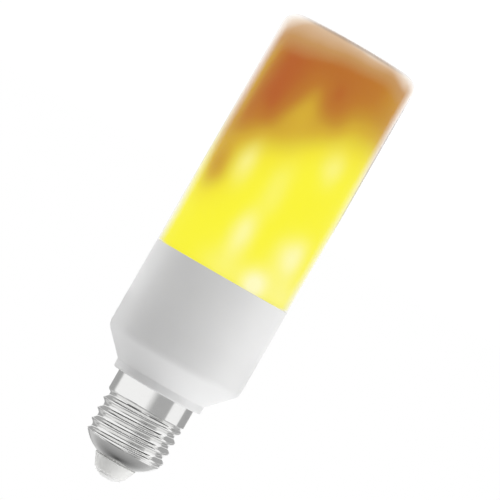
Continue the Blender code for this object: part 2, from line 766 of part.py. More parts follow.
def make_led_flex_board():
    """Flexible board rolled round the carrier, slit at the back, with its LED matrix."""
    length = flex_end - flex_start
    slit = math.radians(FLEX_SLIT_ANGLE)
    slit_centre = (LED_COLUMNS // 2 + 0.25) * TURN / LED_COLUMNS
    shape = bmesh.new()
    seam = [round_the_axis(flex_radius, math.degrees(slit_centre + slit / 2), up) for up in (length, 0)]
    side = [shape.verts.new(place) for place in seam]
    edge = shape.edges.new(side)
    bmesh.ops.spin(
        shape, geom=[*side, edge], axis=(0, 0, 1), cent=(0, 0, 0), angle=TURN - slit, steps=FLEX_SIDES
    )
    tail_half = math.radians(TAIL_ANGLE / 2)
    tail_edges = [
        rim for rim in shape.edges
        if all(abs(math.atan2(end.co.y, end.co.x)) < tail_half and end.co.z > length / 2 for end in rim.verts)
    ]
    tail = bmesh.ops.extrude_edge_only(shape, edges=tail_edges)["geom"]
    tail_tip = [part for part in tail if isinstance(part, bmesh.types.BMVert)]
    bmesh.ops.translate(shape, vec=(0, 0, TAIL_LENGTH), verts=tail_tip)
    bmesh.ops.recalc_face_normals(shape, faces=shape.faces)
    mesh = bpy.data.meshes.new("led_flex_board")
    shape.to_mesh(mesh)
    shape.free()
    board = placed("led_flex_board", mesh, LED_BOARD, location=(0, 0, flex_start))
    sheet = board.modifiers.new("sheet", "SOLIDIFY")
    sheet.thickness = FLEX_THICKNESS
    sheet.offset = -1
    join(board, led_group("led_matrix", matrix_places()))


def make_end_cap():
    """Cap on the carrier's head end, with a recess for the head board."""
    rim = end_cap_flange - head_board_start
    flange = rim + END_FLANGE
    corners = [
        (collar_bore, flange + END_PLUG_LENGTH),
        (collar_radius, flange + END_PLUG_LENGTH),
        (collar_radius, flange),
        (flex_radius, flange),
        (flex_radius, 0),
        (flex_radius - END_RIM_WALL, 0),
        (flex_radius - END_RIM_WALL, rim),
        (END_HOLE, rim),
        (END_HOLE, flange),
        (collar_bore, flange),
    ]
    turned("carrier_end_cap", corners, head_board_start, WHITE_PLASTIC, CORE_SIDES)


def make_head_led_board():
    """Round board at the head end, with a ring of LEDs about one in the middle."""
    board = rod(
        "head_led_board", head_board_radius, HEAD_BOARD_THICKNESS, (0, 0, head_board_start),
        LED_BOARD, sides=CORE_SIDES,
    )
    downward = Matrix.Translation((0, 0, head_board_start)) @ Matrix.Rotation(math.pi, 4, "X")
    places = [downward]
    for number in range(HEAD_LED_COUNT):
        turn = Matrix.Rotation(TURN * number / HEAD_LED_COUNT, 4, "Z")
        places.append(turn @ Matrix.Translation((head_led_circle, 0, 0)) @ downward)
    join(board, led_group("head_leds", places))


def make_carrier_base():
    """Bulkhead with a collar for the carrier, screw holes and a slot for the flex tail."""
    flange = COLLAR_LENGTH
    corners = [
        (BASE_HOLE, flange + BASE_THICKNESS),
        (base_radius, flange + BASE_THICKNESS),
        (base_radius, flange),
        (collar_radius, flange),
        (collar_radius, 0),
        (collar_bore, 0),
        (collar_bore, flange),
        (BASE_HOLE, flange),
    ]
    base = turned("carrier_base", corners, base_start - COLLAR_LENGTH, WHITE_PLASTIC, SLEEVE_SIDES)
    hole_length = BASE_THICKNESS + 2 * CLEARANCE
    for number, degrees in enumerate(BOSS_ANGLES, 1):
        hole_base = round_the_axis(boss_circle, degrees, base_start - CLEARANCE)
        cut(base, rod(f"screw_hole_{number}", SCREW_RADIUS + CLEARANCE, hole_length, hole_base))
    slot_sweep = math.radians(TAIL_ANGLE) + 2 * CLEARANCE / flex_radius
    slot_outline = [(flex_radius + CLEARANCE, hole_length), (flex_radius + CLEARANCE, 0)]
    slot = turned(
        "tail_slot", slot_outline, base_start - CLEARANCE, None, SLOT_SIDES, sweep=slot_sweep,
        closed=False, rotation=(0, 0, -slot_sweep / 2),
    )
    slot_depth = slot.modifiers.new("depth", "SOLIDIFY")
    slot_depth.thickness = FLEX_THICKNESS + 2 * CLEARANCE
    slot_depth.offset = -1
    cut(base, slot)


def make_base_screws():
    """Pan-head screws that hold the bulkhead on the bosses, heads toward the light engine."""
    underside = base_start - CLEARANCE
    length = SCREW_LENGTH + BASE_THICKNESS + CLEARANCE
    for number, degrees in enumerate(BOSS_ANGLES, 1):
        corners = [
            (0, length),
            (SCREW_RADIUS, length - SCREW_RADIUS),
            (SCREW_RADIUS, 0),
            (SCREW_HEAD_RADIUS, 0),
            (SCREW_HEAD_RADIUS, -SCREW_HEAD_HEIGHT, SCREW_HEAD_ROUNDING),
            (0, -SCREW_HEAD_HEIGHT),
        ]
        screw = turned(f"base_screw_{number}", corners, 0, SCREW_STEEL, TINY_SIDES)
        screw.location = round_the_axis(boss_circle, degrees, underside)
        face = round_the_axis(boss_circle, degrees, underside - SCREW_HEAD_HEIGHT)
        recess_height = 2 * RECESS_DEPTH
        long_size = (RECESS_LENGTH, RECESS_WIDTH, recess_height)
        cross_size = (RECESS_WIDTH, RECESS_LENGTH, recess_height)
        cut(screw, box(f"recess_long_{number}", long_size, face))
        cut(screw, box(f"recess_cross_{number}", cross_size, face))


# Driver


def make_driver_board():
    """Upright board: two feet on the bulkhead, a wide part and a tongue into the neck."""
    foot_inner = board_wide_half - BOARD_FOOT_WIDTH
    right = [
        (foot_inner, board_wide_start),
        (foot_inner, board_start),
        (board_wide_half, board_start),
        (board_wide_half, board_wide_end),
        (board_tongue_half, board_wide_end),
        (board_tongue_half, board_end),
    ]
    left = [(-across, up) for across, up in reversed(right)]
    plate("driver_board", right + left, BOARD_THICKNESS, CIRCUIT)


def legged(name, size, centre, face, rows, finish):
    """Surface-mounted package: a body on the board's face with legs on both sides."""
    body = box(name, size, centre, finish, rounding=CLEARANCE)
    leg_across, leg_depth, leg_up = LEG_SIZE
    foot = face * (part_face + leg_depth / 2)
    step = size[2] / rows
    for side in (-1, 1):
        for row in range(rows):
            across = centre[0] + side * (size[0] / 2 + leg_across / 2 - CLEARANCE)
            up = centre[2] + (row - (rows - 1) / 2) * step
            join(body, box(f"{name}_leg", LEG_SIZE, (across, foot, up)))
    return body


def make_board_packages():
    """Controller on the wide part's front and rectifier on the back of the tongue."""
    chip_out = part_face + CHIP_SIZE[1] / 2
    chip_centre = (board_wide_half / 2, chip_out, board_wide_start + CHIP_HEIGHT)
    legged("controller_chip", CHIP_SIZE, chip_centre, 1, CHIP_LEG_ROWS, BLACK_PART)
    bridge_out = part_face + BRIDGE_SIZE[1] / 2
    bridge_centre = (0, -bridge_out, board_wide_end + BRIDGE_TO_WIDE_END)
    legged("bridge_rectifier", BRIDGE_SIZE, bridge_centre, -1, BRIDGE_LEG_ROWS, BLACK_PART)


def make_filter_capacitor():
    """Electrolytic can that lies along the board, its two leads bent into it."""
    corners = [
        (0, CAPACITOR_LENGTH),
        (CAPACITOR_RADIUS, CAPACITOR_LENGTH, CAPACITOR_ROUNDING),
        (CAPACITOR_RADIUS, CAPACITOR_GROOVE_HEIGHT + CAPACITOR_ROUNDING),
        (CAPACITOR_RADIUS - CAPACITOR_GROOVE, CAPACITOR_GROOVE_HEIGHT),
        (CAPACITOR_RADIUS, CAPACITOR_GROOVE_HEIGHT - CAPACITOR_ROUNDING),
        (CAPACITOR_RADIUS, 0, CAPACITOR_ROUNDING),
        (0, 0),
    ]
    across = -board_wide_half / 2
    out = part_face + CAPACITOR_RADIUS
    bottom = board_wide_start + CAPACITOR_HEIGHT
    drop = bottom - CAPACITOR_LEAD_DROP
    can = turned("filter_capacitor", corners, 0, CAN, SMALL_SIDES)
    can.location = (across, out, bottom)
    for number, side in enumerate((-1, 1), 1):
        lead_across = across + side * CAPACITOR_LEAD_SPACING / 2
        corners = [
            (lead_across, out, bottom + CLEARANCE),
            (lead_across, out, drop),
            (lead_across, part_face, drop),
        ]
        lead = wire(f"can_lead_{number}", rounded_route(corners, LEAD_BEND), LEAD_RADIUS, CAN)
        join(can, as_mesh(lead))


def make_film_capacitor():
    """Film capacitor on the back of the board, held off it by its two short leads."""
    across = -board_wide_half / 2
    out = part_face + FILM_STAND_OFF + FILM_SIZE[1] / 2
    up = board_wide_start + FILM_HEIGHT
    body = box("film_capacitor", FILM_SIZE, (across, -out, up), FILM, rounding=FILM_ROUNDING)
    lead_length = FILM_STAND_OFF + FILM_ROUNDING
    for number, side in enumerate((-1, 1), 1):
        foot = (across + side * FILM_LEAD_SPACING / 2, -part_face, up)
        toward_back = (math.pi / 2, 0, 0)
        join(body, rod(f"film_lead_{number}", LEAD_RADIUS, lead_length, foot, rotation=toward_back))


def make_choke():
    """Drum choke that stands on the back of the board, its winding between two flanges."""
    corners = [
        (0, CHOKE_LENGTH),
        (CHOKE_RADIUS, CHOKE_LENGTH),
        (CHOKE_RADIUS, CHOKE_LENGTH - CHOKE_FLANGE),
        (CHOKE_CORE_RADIUS, CHOKE_LENGTH - CHOKE_FLANGE),
        (CHOKE_CORE_RADIUS, CHOKE_FLANGE),
        (CHOKE_RADIUS, CHOKE_FLANGE),
        (CHOKE_RADIUS, 0),
        (0, 0),
    ]
    choke = turned("choke", corners, 0, FERRITE, SMALL_SIDES, rotation=(math.pi / 2, 0, 0))
    up = board_wide_end - CHOKE_TO_WIDE_END - CHOKE_RADIUS
    choke.location = (board_wide_half / 2, -part_face, up)


def make_fusible_resistor():
    """Fusible resistor along the board's tongue, its leads bent into the board."""
    waist = RESISTOR_RADIUS - RESISTOR_WAIST
    last_bead = RESISTOR_LENGTH - RESISTOR_BEAD
    corners = [
        (0, RESISTOR_LENGTH),
        (RESISTOR_RADIUS, RESISTOR_LENGTH, RESISTOR_ROUNDING),
        (RESISTOR_RADIUS, last_bead),
        (waist, last_bead - RESISTOR_WAIST),
        (waist, RESISTOR_BEAD + RESISTOR_WAIST),
        (RESISTOR_RADIUS, RESISTOR_BEAD),
        (RESISTOR_RADIUS, 0, RESISTOR_ROUNDING),
        (0, 0),
    ]
    across = board_tongue_half / 2
    out = part_face + RESISTOR_RADIUS
    bottom = lip_end
    resistor = turned("fusible_resistor", corners, 0, RESISTOR, TINY_SIDES)
    resistor.location = (across, out, bottom)
    for number, (end, ahead) in enumerate(((bottom, -1), (bottom + RESISTOR_LENGTH, 1)), 1):
        tip = end + ahead * RESISTOR_RADIUS
        corners = [(across, out, end - ahead * CLEARANCE), (across, out, tip), (across, part_face, tip)]
        lead = wire(f"resistor_lead_{number}", rounded_route(corners, LEAD_BEND), LEAD_RADIUS, CAN)
        join(resistor, as_mesh(lead))


def make_flex_socket():
    """Socket at the board's corner, beside the flex tail."""
    width, depth, height = SOCKET_SIZE
    centre = (board_wide_half - width / 2, part_face + depth / 2, board_wide_start + height / 2)
    socket = box("flex_socket", SOCKET_SIZE, centre, BLACK_PART, rounding=CLEARANCE)
    slot_size = (width / 2, SOCKET_SLOT, height / 2)
    slot_centre = (board_wide_half, centre[1], centre[2])
    cut(socket, box("socket_slot", slot_size, slot_centre))


# Wiring


def make_leads():
    make_live_lead()
    make_neutral_lead()
    make_head_leads()


def make_live_lead():
    """From the board's tongue to the centre contact's stem."""
    side = part_face + MAINS_LEAD_RADIUS
    stem_mouth = contact_start - CONTACT_STEM_LENGTH
    lead_end = stem_mouth + CONTACT_HOLE_DEPTH - CLEARANCE
    corners = [
        (LIVE_LEAD_ACROSS, -side, board_end - MAINS_LEAD_LAP),
        (LIVE_LEAD_ACROSS, -side, board_end + MAINS_LEAD_RADIUS),
        (0, 0, board_end + MAINS_LEAD_RADIUS + side),
        (0, 0, lead_end),
    ]
    wire("live_lead", rounded_route(corners, MAINS_LEAD_BEND), MAINS_LEAD_RADIUS, BARE_WIRE)


def make_neutral_lead():
    """From the board's tongue over the neck's notch and down inside the shell."""
    side = part_face + MAINS_LEAD_RADIUS
    across = board_tongue_half - GUIDE_REACH - MAINS_LEAD_RADIUS - CLEARANCE
    run = neutral_line()
    crossing = neck_end - MAINS_LEAD_RADIUS - 2 * CLEARANCE
    corners = [
        (-across, side, board_end - MAINS_LEAD_LAP),
        (-across, side, board_end + MAINS_LEAD_RADIUS),
        (-(across + neck_bore) / 2, 0, crossing),
        (-run, 0, crossing),
        (-run, 0, neck_end - NEUTRAL_RUN),
    ]
    wire("neutral_lead", rounded_route(corners, MAINS_LEAD_BEND), MAINS_LEAD_RADIUS, BARE_WIRE)


def make_head_leads():
    """Pair of leads up the carrier's bore, from the head board to the driver board."""
    side = part_face + HEAD_WIRE_RADIUS
    for name, across, finish in (
        ("head_lead_positive", HEAD_WIRE_SPACING / 2, RED_WIRE),
        ("head_lead_negative", -HEAD_WIRE_SPACING / 2, BLACK_WIRE),
    ):
        corners = [
            (across, 0, head_board_top + CLEARANCE),
            (across, 0, base_start - COLLAR_LENGTH),
            (across, -side, board_start),
            (across, -side, board_wide_start + BOARD_FOOT_HEIGHT),
        ]
        wire(name, rounded_route(corners, HEAD_WIRE_BEND), HEAD_WIRE_RADIUS, finish)


make_diffuser_cover()
make_diffuser_sleeve()
make_housing()
make_screw_shell()
make_cap_insulator()
make_centre_contact()
make_led_carrier()
make_led_flex_board()
make_end_cap()
make_head_led_board()
make_carrier_base()
make_base_screws()
make_driver_board()
make_board_packages()
make_filter_capacitor()
make_film_capacitor()
make_choke()
make_fusible_resistor()
make_flex_socket()
make_leads()

for item in bulb.objects:
    if item.type == "MESH":
        item.data.shade_smooth()
        item.data.set_sharp_from_angle(angle=SHARP_ANGLE)
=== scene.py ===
"""Looks of the LED stick bulb: finishes, fine surfaces, studio and camera.

The bulb stands on its head with the cap up, as in the frame. The camera is rolled, so that
the cap points to the lower left and the head to the upper right, as in the photograph.
"""

import json
import math

import bmesh
import bpy
from mathutils import Matrix, Vector


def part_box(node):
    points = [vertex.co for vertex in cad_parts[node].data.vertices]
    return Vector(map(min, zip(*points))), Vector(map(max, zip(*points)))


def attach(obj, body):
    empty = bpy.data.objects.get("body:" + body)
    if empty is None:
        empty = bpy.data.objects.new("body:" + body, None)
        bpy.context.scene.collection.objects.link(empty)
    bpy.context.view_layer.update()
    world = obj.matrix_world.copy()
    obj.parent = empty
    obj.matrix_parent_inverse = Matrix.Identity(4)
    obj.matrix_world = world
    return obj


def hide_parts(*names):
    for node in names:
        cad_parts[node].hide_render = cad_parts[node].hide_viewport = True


MM = 0.001
TURN = 2 * math.pi

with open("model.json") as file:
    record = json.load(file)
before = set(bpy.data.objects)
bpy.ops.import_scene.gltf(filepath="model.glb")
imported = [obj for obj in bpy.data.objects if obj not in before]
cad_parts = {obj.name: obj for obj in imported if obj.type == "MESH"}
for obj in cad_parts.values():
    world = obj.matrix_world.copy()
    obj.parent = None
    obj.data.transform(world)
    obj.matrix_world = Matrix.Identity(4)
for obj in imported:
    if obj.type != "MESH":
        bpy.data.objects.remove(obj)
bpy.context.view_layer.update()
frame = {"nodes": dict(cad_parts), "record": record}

# Sizes shared with the frame's solids
CLEARANCE = 0.3 * MM
HEAD_ROUNDING = 4.3 * MM
COVER_WALL = 1.7 * MM
HEAD_WALL = 1.0 * MM
TONGUE_WALL = 0.7 * MM
SLEEVE_WALL = 0.8 * MM
HOUSING_WALL = 2.4 * MM
HOUSING_STRAIGHT = 29.9 * MM
TAPER_LENGTH = 8.0 * MM
SHOULDER_ROUNDING = 4.0 * MM
INNER_ROUNDING = 2.0 * MM
LIP_RADIUS = 15.3 * MM
LIP_ROUNDING = 0.6 * MM
NECK_BORE = 9.6 * MM
SHELL_WALL = 0.3 * MM
THREAD_DEPTH = 1.15 * MM
THREAD_PITCH = 3.629 * MM
THREAD_TURNS = 4
THREAD_RUN_OUT = 1.3 * MM
CREST_SHARPNESS = 1.5
PLAIN_BAND = 6.2 * MM
SHELL_CLOSING = 4.2 * MM
SHELL_CLOSING_ROUNDING = 1.6 * MM
SHELL_DOME_BULGE = 0.6 * MM
SHELL_DOME_ROUNDING = 12.0 * MM
SHELL_MOUTH_RADIUS = 7.4 * MM
INSULATOR_END_RADIUS = 5.0 * MM
INSULATOR_BORE = 1.6 * MM
INSULATOR_FLANGE = 1.6 * MM
INSULATOR_ROUNDING = 0.9 * MM
CONTACT_THICKNESS = 1.3 * MM
CONTACT_EDGE = 0.3 * MM
CONTACT_FACE_RADIUS = 2.2 * MM
CONTACT_ROUNDING = 1.5 * MM
CONTACT_HOLE_DEPTH = 4.0 * MM
LEAD_HOLE = 0.65 * MM

# Places read from the frame
cover_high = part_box("diffuser_cover")[1]
sleeve_low, sleeve_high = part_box("diffuser_sleeve")
housing_low, housing_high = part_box("housing")
shell_low, shell_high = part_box("screw_shell")
insulator_low, insulator_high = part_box("cap_insulator")
contact_low, contact_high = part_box("centre_contact")
body_radius = cover_high.x
seam = housing_low.z - CLEARANCE
lap_end = cover_high.z
thread_radius = shell_high.x

# Pieces that touch meet within this much. The sleeve presses into the cover by it, so that no
# air film shows between them.
SEATING = 0.02 * MM

# Facets of the fine surfaces
SIDES = 160
FINE_ARC = math.radians(9)
FEWEST_STEPS = 3
THREAD_ROWS_PER_TURN = 18
RIM_ROW = 0.05 * MM
MERGE_DISTANCE = 0.001 * MM
SHARP_ANGLE = math.radians(32)

# Camera: square on the axis, rolled to the photograph's tilt
TILT = math.radians(29.9)
CAMERA_DISTANCE = 1.3
FRAME_WIDTH = 0.15385
SENSOR = 36.0
TARGET = Vector((-0.0034, 0.0, 0.0704))
CLIP_START = 0.05
CLIP_END = 20


def add_object(name, data):
    """New object of the scene that shows a mesh, a camera or a lamp."""
    thing = bpy.data.objects.new(name, data)
    bpy.context.scene.collection.objects.link(thing)
    return thing


def make_camera():
    data = bpy.data.cameras.new("photo_camera")
    data.sensor_width = SENSOR
    data.lens = SENSOR * CAMERA_DISTANCE / FRAME_WIDTH
    data.clip_start = CLIP_START
    data.clip_end = CLIP_END
    camera = add_object("photo_camera", data)
    right = Vector((-math.cos(TILT), 0, -math.sin(TILT)))
    up = Vector((math.sin(TILT), 0, -math.cos(TILT)))
    back = right.cross(up)
    turn = Matrix((right, up, back)).transposed().to_4x4()
    camera.matrix_world = Matrix.Translation(TARGET + back * CAMERA_DISTANCE) @ turn
    bpy.context.scene.camera = camera


# Colours, written as they show


def srgb(code):
    """Linear colour of a hex code, by the curve of the sRGB standard."""
    channels = [int(code[start:start + 2], 16) / 255 for start in (0, 2, 4)]
    return [c / 12.92 if c <= 0.04045 else ((c + 0.055) / 1.055) ** 2.4 for c in channels]


def rgba(code):
    return (*srgb(code), 1.0)


# Shader node helpers


def new_material(name):
    material = bpy.data.materials.new(name)
    material.use_nodes = True
    return material, material.node_tree, material.node_tree.nodes["Principled BSDF"]


def feed(tree, socket, value):
    """Set a socket to a number, a colour or another node's output."""
    if isinstance(value, bpy.types.NodeSocket):
        tree.links.new(value, socket)
    else:
        socket.default_value = value


def calc(tree, operation, *values, clamp=False):
    node = tree.nodes.new("ShaderNodeMath")
    node.operation = operation
    node.use_clamp = clamp
    for socket, value in zip(node.inputs, values):
        feed(tree, socket, value)
    return node.outputs[0]


def vector_calc(tree, operation, *values):
    """Vector maths, which gives a number for a dot product or a length, and else a vector."""
    node = tree.nodes.new("ShaderNodeVectorMath")
    node.operation = operation
    for socket, value in zip(node.inputs, values):
        feed(tree, socket, value)
    return node.outputs["Value" if operation in ("DOT_PRODUCT", "LENGTH") else "Vector"]


# Where the mix node keeps its colour sockets
MIX_FIRST = 6
MIX_SECOND = 7
MIX_RESULT = 2


def blend_colour(tree, share, first, second):
    node = tree.nodes.new("ShaderNodeMix")
    node.data_type = "RGBA"
    feed(tree, node.inputs["Factor"], share)
    feed(tree, node.inputs[MIX_FIRST], first)
    feed(tree, node.inputs[MIX_SECOND], second)
    return node.outputs[MIX_RESULT]


def object_place(tree):
    return tree.nodes.new("ShaderNodeTexCoord").outputs["Object"]


def height_of(tree, place):
    apart = tree.nodes.new("ShaderNodeSeparateXYZ")
    tree.links.new(place, apart.inputs[0])
    return apart.outputs["Z"]


def noise(tree, scale, detail=3.0, roughness=0.5, stretch=None, output="Fac"):
    """Noise over a piece, finer by the stretch along each of its axes."""
    texture = tree.nodes.new("ShaderNodeTexNoise")
    texture.inputs["Scale"].default_value = scale
    texture.inputs["Detail"].default_value = detail
    texture.inputs["Roughness"].default_value = roughness
    place = object_place(tree)
    if stretch:
        mapping = tree.nodes.new("ShaderNodeMapping")
        mapping.inputs["Scale"].default_value = stretch
        tree.links.new(place, mapping.inputs["Vector"])
        place = mapping.outputs["Vector"]
    tree.links.new(place, texture.inputs["Vector"])
    return texture.outputs[output]


def ramp(tree, value, stops):
    """Colour ramp through (position, colour) stops."""
    node = tree.nodes.new("ShaderNodeValToRGB")
    feed(tree, node.inputs["Fac"], value)
    points = node.color_ramp.elements
    while len(points) < len(stops):
        points.new(1.0)
    for point, (position, colour) in zip(points, stops):
        point.position = position
        point.color = colour
    return node.outputs["Color"]


def add_bump(tree, shader, height, strength, distance):
    bump = tree.nodes.new("ShaderNodeBump")
    bump.inputs["Strength"].default_value = strength
    bump.inputs["Distance"].default_value = distance
    tree.links.new(height, bump.inputs["Height"])
    tree.links.new(bump.outputs["Normal"], shader.inputs["Normal"])


def vary(tree, value, low, high):
    """Map a 0 to 1 value to a range."""
    return calc(tree, "ADD", calc(tree, "MULTIPLY", value, high - low), low)


def dimmed(colour, share):
    return tuple(channel * share for channel in colour[:3]) + (1.0,)


# Finishes

# Plastic: the mottle in its colour and gloss, and the sparked grain of its surface
MOTTLE_SCALE = 60.0
MOTTLE_DETAIL = 4.0
MOTTLE_DIM = 0.96
MOTTLE_GLOSS = 0.05
GRAIN_SCALE = 900.0
GRAIN_DETAIL = 2.0
GRAIN_STRENGTH = 0.25
GRAIN_DEPTH = 0.004 * MM


def moulded_plastic(name, colour, roughness):
    """Moulded plastic: faint mottle in colour and gloss, and a fine sparked grain."""
    material, tree, shader = new_material(name)
    mottle = noise(tree, MOTTLE_SCALE, MOTTLE_DETAIL)
    darker = dimmed(colour, MOTTLE_DIM)
    feed(tree, shader.inputs["Base Color"], blend_colour(tree, mottle, darker, colour))
    gloss = vary(tree, mottle, roughness - MOTTLE_GLOSS, roughness + MOTTLE_GLOSS)
    feed(tree, shader.inputs["Roughness"], gloss)
    grain = noise(tree, GRAIN_SCALE, GRAIN_DETAIL)
    add_bump(tree, shader, grain, GRAIN_STRENGTH, GRAIN_DEPTH)
    return material


# Metal: the rolling marks, which are finest along the axis
MARK_SCALE = 420.0
MARK_DETAIL = 5.0
MARK_ROUGHNESS = 0.6
MARK_STRETCH = (1.0, 1.0, 9.0)
MARK_DIM = 0.95
MARK_GLOSS = 0.06
MARK_STRENGTH = 0.12
MARK_DEPTH = 0.01 * MM


def drawn_metal(name, colour, roughness, metallic=1.0):
    """Bright metal with fine rolling marks that run round the part."""
    material, tree, shader = new_material(name)
    shader.inputs["Metallic"].default_value = metallic
    marks = noise(tree, MARK_SCALE, MARK_DETAIL, MARK_ROUGHNESS, MARK_STRETCH)
    darker = dimmed(colour, MARK_DIM)
    feed(tree, shader.inputs["Base Color"], blend_colour(tree, marks, darker, colour))
    feed(tree, shader.inputs["Roughness"], vary(tree, marks, roughness, roughness + MARK_GLOSS))
    add_bump(tree, shader, marks, MARK_STRENGTH, MARK_DEPTH)
    return material


COVER_TINT = rgba("fffdfa")
# The cover's low index keeps its mirror image of the white surround fainter than the flame
COVER_IOR = 1.2
COVER_SHEEN = 0.7
SHEEN_ROUGHNESS = 0.2
# Haze of the wall, and the scale at which it varies
HAZE_LEAST = 0.16
HAZE_MOST = 0.22
HAZE_SCALE = 80.0
# How far the view must graze the wall before its gloss hides the flame
GLOSS_START = 0.56
GLOSS_REACH = 0.38
# Where along the wall the flame shines through the gloss, over what height, and how much of it
BRIGHT_HEIGHT = 48.0 * MM
BRIGHT_REACH = 19.0 * MM
BRIGHT_SHARE = 0.55


def clear_plastic():
    """Clear wall of the cover, with the faint haze of moulded polycarbonate."""
    material, tree, shader = new_material("clear_cover")
    shader.inputs["Base Color"].default_value = COVER_TINT
    shader.inputs["Transmission Weight"].default_value = 1.0
    shader.inputs["IOR"].default_value = COVER_IOR
    shader.inputs["Sheen Weight"].default_value = COVER_SHEEN
    shader.inputs["Sheen Roughness"].default_value = SHEEN_ROUGHNESS
    haze = vary(tree, noise(tree, HAZE_SCALE), HAZE_LEAST, HAZE_MOST)
    feed(tree, shader.inputs["Roughness"], haze)
    facing = tree.nodes.new("ShaderNodeLayerWeight").outputs["Facing"]
    grazing = calc(tree, "SUBTRACT", facing, GLOSS_START)
    gloss = calc(tree, "DIVIDE", grazing, GLOSS_REACH, clamp=True)
    height = height_of(tree, object_place(tree))
    away = calc(tree, "DIVIDE", calc(tree, "SUBTRACT", height, BRIGHT_HEIGHT), BRIGHT_REACH)
    square = calc(tree, "MULTIPLY", away, away)
    bright = calc(tree, "EXPONENT", calc(tree, "MULTIPLY", square, -1.0))
    share = calc(tree, "MULTIPLY_ADD", bright, -BRIGHT_SHARE, 1.0)
    feed(tree, shader.inputs["Metallic"], calc(tree, "MULTIPLY", gloss, share))
    return material


# Angles round the bulb are in degrees, from the camera's side toward the photograph's right
FRONT = -90
QUARTER_TURN = 90

# The flame on the diffuser. Both sides of the bulb share one set of tongues, so the flame
# closes round it.
FLAME_STOPS = [
    (0.0, rgba("f8f239")),
    (0.15, rgba("f3e738")),
    (0.3, rgba("e4d03a")),
    (0.45, rgba("d5af36")),
    (0.6, rgba("c69432")),
    (0.75, rgba("bd7b2f")),
    (0.9, rgba("b86f2d")),
    (1.0, rgba("b5612c")),
]
TAN = rgba("c4945c")
PEACH = rgba("dcc2a6")
# Colour of the painted sheen on the head's rim
RIM_SHEEN_TINT = rgba("f8f0e6")
# Painted shade: a dark line along the head's outer edge, in place of the dark edge of the clear rim
HEAD_EDGE_SHADE = rgba("9c8474")
PALE_SPOT = rgba("fdfac2")
HEAD_EDGE_SHADE_SHARE = 0.7
HEAD_EDGE_SHADE_TOP = 1.6 * MM
FLAME_GLOW = 0.86
UNLIT_SHARE = 0.2
BLACK = (0.0, 0.0, 0.0, 1.0)
SLEEVE_ROUGHNESS = 0.8
# How far noise shifts the flame, round the middle of its values
WOBBLE = (3.0 * MM, 3.0 * MM, 5.0 * MM)
WOBBLE_SCALE = 55.0
WOBBLE_DETAIL = 1.5
NOISE_MIDDLE = (0.5, 0.5, 0.5)
LEVEL = (1.0, 1.0, 0.0)


def flame_lobe_group():
    """Node group: 1 in the middle of a soft ellipse on the cylinder, 0 away from it."""
    group = bpy.data.node_groups.new("flame_lobe", "ShaderNodeTree")
    sockets = {
        "Side": "NodeSocketVector",
        "Height": "NodeSocketFloat",
        "Toward": "NodeSocketVector",
        "Middle": "NodeSocketFloat",
        "Narrowness": "NodeSocketFloat",
        "Shortness": "NodeSocketFloat",
    }
    for name, kind in sockets.items():
        group.interface.new_socket(name, in_out="INPUT", socket_type=kind)
    group.interface.new_socket("Lobe", in_out="OUTPUT", socket_type="NodeSocketFloat")
    given = group.nodes.new("NodeGroupInput").outputs
    result = group.nodes.new("NodeGroupOutput").inputs
    facing = vector_calc(group, "DOT_PRODUCT", given["Side"], given["Toward"])
    away = calc(group, "MULTIPLY", calc(group, "SUBTRACT", facing, 1.0), given["Narrowness"])
    above = calc(group, "SUBTRACT", given["Height"], given["Middle"])
    rise = calc(group, "MULTIPLY", above, given["Shortness"])
    drop = calc(group, "SUBTRACT", away, calc(group, "MULTIPLY", rise, rise))
    group.links.new(calc(group, "EXPONENT", drop), result["Lobe"])
    return group


def side_vector(degrees):
    """Direction on the cylinder, counted from the camera's side toward the photo's right."""
    angle = math.radians(FRONT - degrees)
    return (math.cos(angle), math.sin(angle), 0.0)


class Flame:
    """Builds the flame's fields in one node tree, from the wobbled side and height."""

    def __init__(self, tree):
        self.tree = tree
        self.group = flame_lobe_group()
        wobble = noise(tree, WOBBLE_SCALE, WOBBLE_DETAIL, output="Color")
        centred = vector_calc(tree, "SUBTRACT", wobble, NOISE_MIDDLE)
        place = vector_calc(tree, "MULTIPLY_ADD", centred, WOBBLE, object_place(tree))
        level = vector_calc(tree, "MULTIPLY", place, LEVEL)
        self.side = vector_calc(tree, "NORMALIZE", level)
        self.height = calc(tree, "MULTIPLY", height_of(tree, place), 1 / MM)

    def lobe(self, degrees, middle, half_angle, half_height):
        """Soft ellipse; a half_height of None makes a full-height band."""
        node = self.tree.nodes.new("ShaderNodeGroup")
        node.node_tree = self.group
        self.tree.links.new(self.side, node.inputs["Side"])
        self.tree.links.new(self.height, node.inputs["Height"])
        node.inputs["Toward"].default_value = side_vector(degrees)
        node.inputs["Middle"].default_value = middle
        node.inputs["Narrowness"].default_value = 2 / math.radians(half_angle) ** 2
        node.inputs["Shortness"].default_value = 1 / half_height if half_height else 0.0
        return node.outputs["Lobe"]

    def total(self, start, lobes):
        """Sum of weighted lobes: each is (weight, degrees, middle, half_angle, half_height)."""
        value = start
        for weight, *shape in lobes:
            value = calc(self.tree, "MULTIPLY_ADD", self.lobe(*shape), weight, value)
        return value

    def below(self, line):
        """Share of the way from a line down to the head, 0 above the line."""
        depth = calc(self.tree, "SUBTRACT", line, self.height)
        return calc(self.tree, "DIVIDE", depth, line, clamp=True)


# Where the yellow starts to burn, in mm from the head, and over what height it turns to rust.
# Lobes are (weight, degrees, height, half angle, half height).
YELLOW_END = 34.0
BURN_LENGTH = 28.0
LEAST_BURNT_SOFTNESS = 0.35
BOUNDARY = [
    (11.8, -10, 0, 30, None),
    (21.0, -60, 0, 32, None),
    (11.0, 100, 0, 20, None),
    (14.0, 150, 0, 26, None),
    (9.0, 205, 0, 18, None),
    (12.0, 248, 0, 22, None),
]
# How far it burns at most
MOST_BURNT = 0.92
MOST_BURNT_SOFTNESS = 0.25
BURNT_SHARE = [
    (0.08, -42, 0, 18, None),
    (-0.36, -69, 0, 13, None),
    (-0.28, 66, 0, 38, None),
    (0.08, 150, 0, 20, None),
    (-0.30, 205, 0, 25, None),
]
